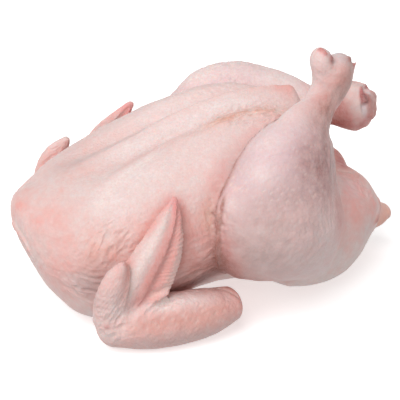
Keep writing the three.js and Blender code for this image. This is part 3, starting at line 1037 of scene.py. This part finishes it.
# Where the skin lies in the shade of what is beside it.
SHADED = [
    ((-80, -66, 56), (26, 14, 10), 0.2),  # under the breast
    ((-92, -60, 48), (8, 14, 12), 0.3),  # behind the thumb
    ((-48, -70, 60), (12, 8, 20), 0.3),  # behind the hand
    ((4, -76, 38), (22, 10, 8), 0.65),  # under the thigh
    ((-11, -68, 42), (8, 10, 9), 0.7),
    ((64, -56, 138), (12, 8, 16), 0.75),  # side of the near shank
    ((57, -62, 131), (10, 9, 12), 0.3),
    ((42, -80, 116), (16, 12, 16), 0.2),  # far side of the thigh
    ((0, -88, 72), (18, 16, 30), 0.2),  # near the crease
    ((-14, -74, 56), (4, 8, 14), 0.5),
    ((80, -50, 154), (7, 8, 12), 0.3),
    ((-4, -80, 52), (14, 12, 16), 0.3),
    ((62, -80, 84), (5, 8, 16), 0.2),
    ((-78, 64, 58), (26, 14, 12), 0.3),
    ((-28, -71, 48), (18, 12, 20), 0.45),  # between wing and thigh
    ((-22, 72, 52), (16, 12, 22), 0.35),
    ((-12, -78, 48), (12, 10, 20), 0.3),
    ((105, 16, 100), (10, 16, 18), 0.6),  # between the hocks
    ((83, -49, 158), (5, 8, 12), 0.4),
    ((78, -52, 146), (7, 8, 14), 0.6),
    ((-46, -91, 26), (38, 7, 5), 0.15),  # forearms
    ((84, -45.5, 165), (2.8, 2.8, 2.6), 0.8),
    ((108, -40, 47), (3, 3, 3), 0.25),
]
# Dark blood, and painted shade as dark where the crease ends under the thigh.
BLOODY_AND_DEEP_SHADE = [
    ((71, -48, 167.5), (2.2, 2.8, 2.0), 0.9),  # near hock
    ((85, -44.5, 165), (2.0, 2.4, 1.8), 0.9),
    ((122.5, 9, 114.5), (2.4, 1.8, 2.6), 0.9),  # far hock
    ((122.5, 7.5, 111.5), (2.4, 1.6, 2.6), 0.9),
    ((-13, -68, 38), (3, 6, 5), 0.7),  # painted shade where the crease ends under the thigh
]
LOW_UP_TO_Z = (95, 130)  # creases are darkest below the first, and palest above the second
SHANK_FROM_X = (55, 72)  # where the legs' faint lilac ends


def hand_masks(points, pieces, parts):
    """The webs, their rims, the valleys, bones and tips of both hands."""
    masks = np.zeros((5, len(points)))
    for side in SIDES:
        _, past, within, share = on_hand(points, pieces[side + "hand"], parts[side + "arm"])
        web = within * ramp(past, 0, 0.2)
        rim = within * ramp(past, 0.45, 0.7)
        valley = within * swell(past, 0, 0.22)
        bone = within * swell(past, HAND_BONE_AT, 0.28)
        masks = np.maximum(masks, [web, rim, valley, bone, within * ramp(share, 0.5, 1)])
    return masks


def cut_end(points, pieces, parts, mottle):
    """Where the far drumstick's end is cut, ragged at its rim."""
    at_end, radial = hock_cut(points, pieces["far_drumstick"])
    rim = swell(radial, 0.9, 0.25)
    return at_end * (0.25 + 0.7 * rim + 0.8 * mottle) * parts["far_leg"]


def colour_masks(points, pieces, parts, fine, bumps):
    """One mask from 0 to 1 for each tint of the skin, painted shade and highlights among them, and one
    for its gloss.
    """
    mottle = noise(points, 9, 100) + 0.6 * noise(points, 4, 101) - 0.8
    speckle = noise(points, 2.2, 102) - 0.5
    leg = np.maximum(parts["near_leg"], parts["far_leg"])
    webs, rims, valleys, bones, hand = hand_masks(points, pieces, parts)
    arms = np.max([parts[name] for name in WINGS], axis=0)
    cut = cut_end(points, pieces, parts, mottle)
    low = 1 - ramp(points[:, 2], *LOW_UP_TO_Z)
    halo = parts["beside_crease"] ** 2
    gristle = patches(points, GRISTLE)
    hollow = ramp(-fine, 0.1, 1.4)

    def mottled(rows, plain, spread):
        return patches(points, rows) * (plain + spread * mottle)

    masks = {
        # blood showing through, with pink painted shade in the hands' valleys, on the breast beside
        # the leg's crease and in the relief's furrows
        "flush_and_pink_shade": mottled(FLUSH_AND_PINK_SHADE, 0.85, 0.5)
        + 0.8 * webs
        + valleys
        + 0.3 * hand * (1 - bones)
        + 0.1 * arms
        + halo * (1 - leg * (1 - low))
        + 0.3 * mottle
        + 0.3 * speckle
        + 0.5 * hollow,
        "fatty": (mottled(FATTY, 0.85 + 0.9 * hollow, 0.5) + 0.1 * mottle) * (1 - 0.85 * leg),
        "lilac": mottled(LILAC, 1, 0.6) * np.maximum(leg, 0.6)
        + 0.2 * leg * (1 - ramp(points[:, 0], *SHANK_FROM_X)),
        "grey": mottled(GREY, 1, 0.3),
        "dark": mottled(DARK, 1, 0.15) * leg,
        # paler over the hands' bones, with painted highlight there, and painted light on the webs'
        # rims
        "pale": mottled(PALE, 1, 0.5) + 0.9 * bones + 0.3 * rims,
        # the wing tips, and pink painted shade in the hands' valleys
        "rosy": mottled(ROSY, 0.9, 0.5) + (0.45 + 0.3 * hand) * valleys,
        "raw": np.maximum(mottled(RAW, 1, 1), 0.9 * cut * (1 - gristle)),
        "gristle": gristle,
        "gloss": np.maximum(patches(points, GLOSSY), 0.9 * bones),
        "shade": (parts["crease_line"] + 0.4 * parts["crease"]) * (0.45 + 0.55 * low)
        + 0.35 * halo * (0.5 + 0.5 * low) * (1 - leg)
        + 0.4 * hollow * (1 - 0.6 * arms)
        + 0.25 * valleys
        + 0.3 * cut * hollow
        + patches(points, SHADED),
        "blood_and_deep_shade": mottled(BLOODY_AND_DEEP_SHADE, 0.9, 0.5),
        # paler follicles, and painted highlight on the relief's ridges
        "follicles_and_ridge_highlight": (1 - gristle) * (1 - cut) * (0.9 * bumps + 0.7 * ramp(fine, 0.1, 1.0)),
    }
    for path, width, name, strength in LINED:
        masks[name] = masks[name] + strength * furrow(points, path, width)
    return {name: np.clip(mask, 0, 1) for name, mask in masks.items()}


# ---- Mesh ----


def fitted(points):
    """Drawn millimetres to the frame's metres: as long as the CAD bird, and standing where it does."""
    scale = (CAD_HIGH[0] - CAD_LOW[0]) / DRAWN_LENGTH
    foot = np.array([*(CAD_LOW[:2] + CAD_HIGH[:2]) / 2, CAD_LOW[2]])
    return ((points - DRAWN_FOOT) * scale + foot) / 1000


def add_object(name, data):
    obj = bpy.data.objects.new(name, data)
    bpy.context.scene.collection.objects.link(obj)
    return obj


def mesh_object(name, points, faces):
    mesh = bpy.data.meshes.new(name)
    mesh.from_pydata(points.tolist(), [], faces)
    mesh.polygons.foreach_set("use_smooth", np.ones(len(faces), bool))
    return add_object(name, mesh)


def vectors_of(items, field):
    flat = np.empty(3 * len(items), np.float32)
    items.foreach_get(field, flat)
    return flat.reshape(-1, 3).astype(float)


def normals_of(mesh):
    return vectors_of(mesh.vertex_normals, "vector")


def move_points(mesh, points):
    mesh.vertices.foreach_set("co", points.astype(np.float32).ravel())
    mesh.update()


def store_mask(mesh, name, values):
    layer = mesh.attributes.new(name, "FLOAT", "POINT")
    layer.data.foreach_set("value", values.astype(np.float32))


# Places with folds finer than the grid, where edges are halved: centre, radii and strength.
CLOSE_UP = [
    ((72, -45, 155), (30, 26, 40), 1.0),  # hocks
    ((118, 20, 102), (24, 26, 26), 1.0),
    ((98, -24, 72), (22, 22, 18), 1.0),  # rump and tail
    ((122, -10, 40), (24, 36, 20), 1.0),
    ((-122, -8, 58), (14, 36, 22), 1.0),  # neck
    ((-92, -62, 56), (30, 26, 36), 1.0),  # shoulder
    ((18, -20, 128), (44, 22, 12), 1.0),  # beside the keel
    ((-24, -74, 62), (24, 20, 40), 1.0),  # flank
    ((30, -86, 98), (50, 26, 30), 1.0),  # drumstick
]


def needs_close_up(points, parts):
    """Which points are on the wings, in a crease or at a place with fine folds."""
    limbs = np.max([parts[name] for name in (*WINGS, "crease")], axis=0)
    return (limbs > 0.3) | (patches(points, CLOSE_UP) > 0.4)


def halve_edges(mesh, field, wanted):
    """Halves the edges between wanted points, and brings all points onto the field's surface."""
    body = bmesh.new()
    body.from_mesh(mesh)
    edges = [edge for edge in body.edges if all(wanted[end.index] for end in edge.verts)]
    bmesh.ops.subdivide_edges(body, edges=edges, cuts=1, use_grid_fill=True)
    body.to_mesh(mesh)
    body.free()
    points = vectors_of(mesh.vertices, "co")
    points -= normals_of(mesh) * np.clip(value_at(field, points), -VOXEL, VOXEL)[:, None]
    move_points(mesh, points)
    return points


# ---- Nodes ----


def fill(tree, node, values):
    """Sets a node's inputs. One whose value is another node's output is linked to it."""
    for name, value in values.items():
        if isinstance(value, bpy.types.NodeSocket):
            tree.links.new(value, node.inputs[name])
        else:
            node.inputs[name].default_value = value


def new_node(tree, kind, values=(), **settings):
    node = tree.nodes.new("ShaderNode" + kind)
    for name, setting in settings.items():
        setattr(node, name, setting)
    fill(tree, node, dict(values))
    return node


def map_range(tree, value, given, wanted):
    """A number brought from one range to another, and kept inside it."""
    limits = {"From Min": given[0], "From Max": given[1], "To Min": wanted[0], "To Max": wanted[1]}
    return new_node(tree, "MapRange", {"Value": value, **limits}).outputs["Result"]


# ---- Materials ----

SKIN = (0.80, 0.67, 0.645)
TINTS = {  # linear colours, laid over one another in this order
    "flush_and_pink_shade": (0.86, 0.41, 0.37),
    "fatty": (0.88, 0.50, 0.38),
    "lilac": (0.76, 0.56, 0.60),
    "grey": (0.52, 0.41, 0.40),
    "dark": (0.36, 0.21, 0.21),
    "pale": (0.88, 0.77, 0.75),
    "rosy": (0.90, 0.34, 0.34),
    "raw": (0.52, 0.13, 0.13),
    "gristle": (0.66, 0.60, 0.62),
    "shade": (0.34, 0.14, 0.11),
    "blood_and_deep_shade": (0.10, 0.014, 0.018),
    "follicles_and_ridge_highlight": (0.92, 0.76, 0.69),
}
TINT_STRENGTH = {"follicles_and_ridge_highlight": 0.45, "shade": 0.9}
FRECKLE = (0.70, 0.44, 0.41)
# Noises all over the skin: scale in one metre and detail.
PATCHY = (160, 3)  # makes the tints uneven
FLECKS = [((420, 1), 0.22), ((900, 2), 0.28)]  # and how much they freckle it
PORES = (600, 4)
PORE_BUMP = 0.6
PORE_HEIGHT = 0.0008
NOISE_RANGE = (0.3, 0.7)  # where most of a noise lies
UNEVEN_TINT = (0.75, 1.25)
ROUGHNESS = (0.5, 0.32)  # where the skin is dull, and where it shines
SUBSURFACE = {"Weight": 0.3, "Radius": (1.0, 0.45, 0.35), "Scale": 0.003}
SPECULAR_LEVEL = 0.2


def skin_material():
    material = bpy.data.materials.new("raw_skin")
    material.use_nodes = True
    tree = material.node_tree
    place = new_node(tree, "TexCoord").outputs["Object"]

    def spots(scale, detail):
        values = {"Vector": place, "Scale": scale, "Detail": detail}
        return new_node(tree, "TexNoise", values).outputs["Fac"]

    def mask_of(name):
        return new_node(tree, "Attribute", attribute_name=name).outputs["Fac"]

    def product(first, second):
        values = {0: first, 1: second}
        return new_node(tree, "Math", values, operation="MULTIPLY", use_clamp=True).outputs["Value"]

    def mixed(colour, tint, factor):
        values = {"Factor": factor, "A": colour, "B": (*tint, 1)}
        return new_node(tree, "Mix", values, data_type="RGBA").outputs["Result"]

    colour = (*SKIN, 1)
    patchy = map_range(tree, spots(*PATCHY), NOISE_RANGE, UNEVEN_TINT)
    for name, tint in TINTS.items():
        factor = product(mask_of(name), TINT_STRENGTH.get(name, 1.0))
        colour = mixed(colour, tint, product(factor, patchy))
    for noise_kind, strength in FLECKS:
        factor = map_range(tree, spots(*noise_kind), NOISE_RANGE, (0, strength))
        colour = mixed(colour, FRECKLE, factor)

    relief = {"Strength": PORE_BUMP, "Distance": PORE_HEIGHT, "Height": spots(*PORES)}
    finish = {
        "Base Color": colour,
        "Normal": new_node(tree, "Bump", relief).outputs["Normal"],
        "Roughness": map_range(tree, mask_of("gloss"), NOISE_RANGE, ROUGHNESS),
        "Specular IOR Level": SPECULAR_LEVEL,
        **{"Subsurface " + name: value for name, value in SUBSURFACE.items()},
    }
    fill(tree, tree.nodes["Principled BSDF"], finish)
    return material


# ---- Stage ----

CAMERA_AZIMUTH = math.radians(-20)
CAMERA_ELEVATION = math.radians(25)
CAMERA_DISTANCE = 0.989
CAMERA_TARGET = Vector((-0.0054, 0.0013, 0.0526))
CAMERA_LENS = 148.5
CAMERA_SENSOR = 36
KEY_FROM = Vector((-0.5, -0.42, 0.82))
KEY_WIDTH = math.radians(50)
KEY_STRENGTH = 2.0
SKY_STRENGTH = 0.5
GROUND_STRENGTH = 0.76  # the light that comes up from below
HORIZON = 0.4  # height to which the sky's light and the ground's run into each other
FLOOR_SIZE = 12
FLOOR_FINISH = {
    "Base Color": (0.93, 0.93, 0.93, 1),
    "Roughness": 0.9,
    "Specular IOR Level": 0.1,
    "Emission Color": (1, 1, 1, 1),
    "Emission Strength": 0.4,  # keeps the shadow on the floor faint
}


def aim(obj, target):
    obj.rotation_euler = (target - obj.location).to_track_quat("-Z", "Y").to_euler()


def camera():
    data = bpy.data.cameras.new("camera")
    data.lens = CAMERA_LENS
    data.sensor_width = CAMERA_SENSOR
    obj = add_object("camera", data)
    level = math.cos(CAMERA_ELEVATION)
    across, back = math.sin(CAMERA_AZIMUTH) * level, -math.cos(CAMERA_AZIMUTH) * level
    towards = Vector((across, back, math.sin(CAMERA_ELEVATION)))
    obj.location = CAMERA_TARGET + CAMERA_DISTANCE * towards
    aim(obj, CAMERA_TARGET)
    bpy.context.scene.camera = obj


def soft_key():
    """A wide, distant light from the upper left, so that the floor is equally bright everywhere."""
    data = bpy.data.lights.new("key", "SUN")
    data.angle = KEY_WIDTH
    data.energy = KEY_STRENGTH
    obj = add_object("key", data)
    obj.location = KEY_FROM
    aim(obj, Vector((0, 0, 0)))


def floor():
    bpy.ops.mesh.primitive_plane_add(size=FLOOR_SIZE, location=(0, 0, 0))
    obj = bpy.context.object
    obj.name = "floor"
    material = bpy.data.materials.new("pale_floor")
    material.use_nodes = True
    tree = material.node_tree
    fill(tree, tree.nodes["Principled BSDF"], FLOOR_FINISH)
    obj.data.materials.append(material)
    obj.visible_diffuse = False  # so that GROUND_STRENGTH lights the bird's underside


def studio():
    """White light from all round, stronger from the ground, and the key light."""
    world = bpy.data.worlds.new("studio")
    bpy.context.scene.world = world
    world.use_nodes = True
    tree = world.node_tree
    place = new_node(tree, "TexCoord").outputs["Generated"]
    height = new_node(tree, "SeparateXYZ", {"Vector": place}).outputs["Z"]
    strength = map_range(tree, height, (-HORIZON, HORIZON), (GROUND_STRENGTH, SKY_STRENGTH))
    fill(tree, tree.nodes["Background"], {"Color": (1, 1, 1, 1), "Strength": strength})
    soft_key()
    bpy.context.scene.view_settings.view_transform = "Standard"


# ---- Making ----


def make_bird():
    pieces = {"trunk": trunk()}
    for group in (near_leg(), far_leg(), rump(), near_wing(), far_wing()):
        pieces.update(group)
    field, groups = bird_field(pieces)
    points, faces = polygons_of(field)
    bird = mesh_object("bird", points, faces)
    wanted = needs_close_up(points, survey(points, groups))
    points = halve_edges(bird.data, field, wanted)
    parts = survey(points, groups)
    broad, fine, bumps = relief(points, pieces, parts)
    shaped = points + normals_of(bird.data) * (broad + fine)[:, None]
    shaped[:, 2] = np.maximum(shaped[:, 2], REST_CUT)
    for name, mask in colour_masks(points, pieces, parts, fine, bumps).items():
        store_mask(bird.data, name, mask)
    move_points(bird.data, fitted(shaped))
    bird.data.materials.append(skin_material())
    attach(bird, "root")
    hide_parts("chicken")


make_bird()
floor()
studio()
camera()
